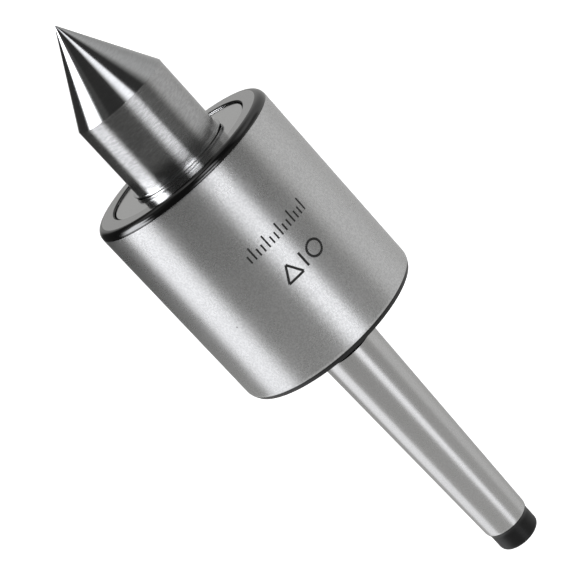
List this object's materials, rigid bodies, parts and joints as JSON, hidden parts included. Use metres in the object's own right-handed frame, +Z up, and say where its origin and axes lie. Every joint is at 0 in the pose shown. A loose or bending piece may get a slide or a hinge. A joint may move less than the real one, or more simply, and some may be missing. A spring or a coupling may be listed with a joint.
{
  "type": "live center",
  "caption": "Lathe live center: a hardened 60 degree point turning on ball bearings in a cylindrical housing with a Morse taper No. 1 shank.",
  "frame": {"origin": "on the spindle axis, in the plane where the Morse taper has its gauge diameter", "axes": "+X along the spindle axis towards the point, +Z up"},
  "size_m": [0.1313, 0.0384, 0.0384],
  "materials": {
    "ground_steel": "ground and satin, black on the neck, the rear chamfer and the unground end",
    "polished_steel": "hardened and finely ground, nearly bright",
    "cover_steel": "fine turned, satin",
    "bearing_steel": "polished",
    "pressed_steel": "pressed sheet, plain",
    "spring_steel": "dark tempered",
    "cage_brass": "machined",
    "felt": "dense felt, oiled"
  },
  "bodies": {
    "housing": {"housing": "ground_steel", "front_cover": "cover_steel", "dust_seal": "felt", "front_bearing_outer_ring": "bearing_steel", "front_bearing_shield": "pressed_steel", "thrust_housing_washer": "bearing_steel", "rear_bearing_outer_ring": "bearing_steel", "wave_spring": "spring_steel"},
    "spindle": {"spindle": "polished_steel", "front_bearing_inner_ring": "bearing_steel", "thrust_shaft_washer": "bearing_steel", "rear_bearing_inner_ring": "bearing_steel", "snap_ring": "spring_steel"},
    "front_balls": {"front_bearing_cage": "pressed_steel", "front_ball_01": "bearing_steel", "front_ball_02": "bearing_steel", "front_ball_03": "bearing_steel", "front_ball_04": "bearing_steel", "front_ball_05": "bearing_steel", "front_ball_06": "bearing_steel", "front_ball_07": "bearing_steel", "front_ball_08": "bearing_steel", "front_ball_09": "bearing_steel", "front_ball_10": "bearing_steel"},
    "thrust_balls": {"thrust_bearing_cage": "cage_brass", "thrust_ball_01": "bearing_steel", "thrust_ball_02": "bearing_steel", "thrust_ball_03": "bearing_steel", "thrust_ball_04": "bearing_steel", "thrust_ball_05": "bearing_steel", "thrust_ball_06": "bearing_steel", "thrust_ball_07": "bearing_steel", "thrust_ball_08": "bearing_steel", "thrust_ball_09": "bearing_steel", "thrust_ball_10": "bearing_steel"},
    "rear_balls": {"rear_bearing_cage": "pressed_steel", "rear_ball_01": "bearing_steel", "rear_ball_02": "bearing_steel", "rear_ball_03": "bearing_steel", "rear_ball_04": "bearing_steel", "rear_ball_05": "bearing_steel", "rear_ball_06": "bearing_steel", "rear_ball_07": "bearing_steel"}
  },
  "joints": [
    {"name": "spindle_spin", "type": "hinge", "parent": "housing", "child": "spindle", "pos_m": [0.0388, 0, 0], "axis": [1, 0, 0], "continuous": true},
    {"name": "front_cage_spin", "type": "hinge", "parent": "housing", "child": "front_balls", "pos_m": [0.03875, 0, 0], "axis": [1, 0, 0], "continuous": true},
    {"name": "thrust_cage_spin", "type": "hinge", "parent": "housing", "child": "thrust_balls", "pos_m": [0.03065, 0, 0], "axis": [1, 0, 0], "continuous": true},
    {"name": "rear_cage_spin", "type": "hinge", "parent": "housing", "child": "rear_balls", "pos_m": [0.0177, 0, 0], "axis": [1, 0, 0], "continuous": true}
  ],
  "couplings": [
    {"joint": "front_cage_spin", "follows": "spindle_spin", "ratio": 0.4186},
    {"joint": "thrust_cage_spin", "follows": "spindle_spin", "ratio": 0.5},
    {"joint": "rear_cage_spin", "follows": "spindle_spin", "ratio": 0.3677}
  ]
}
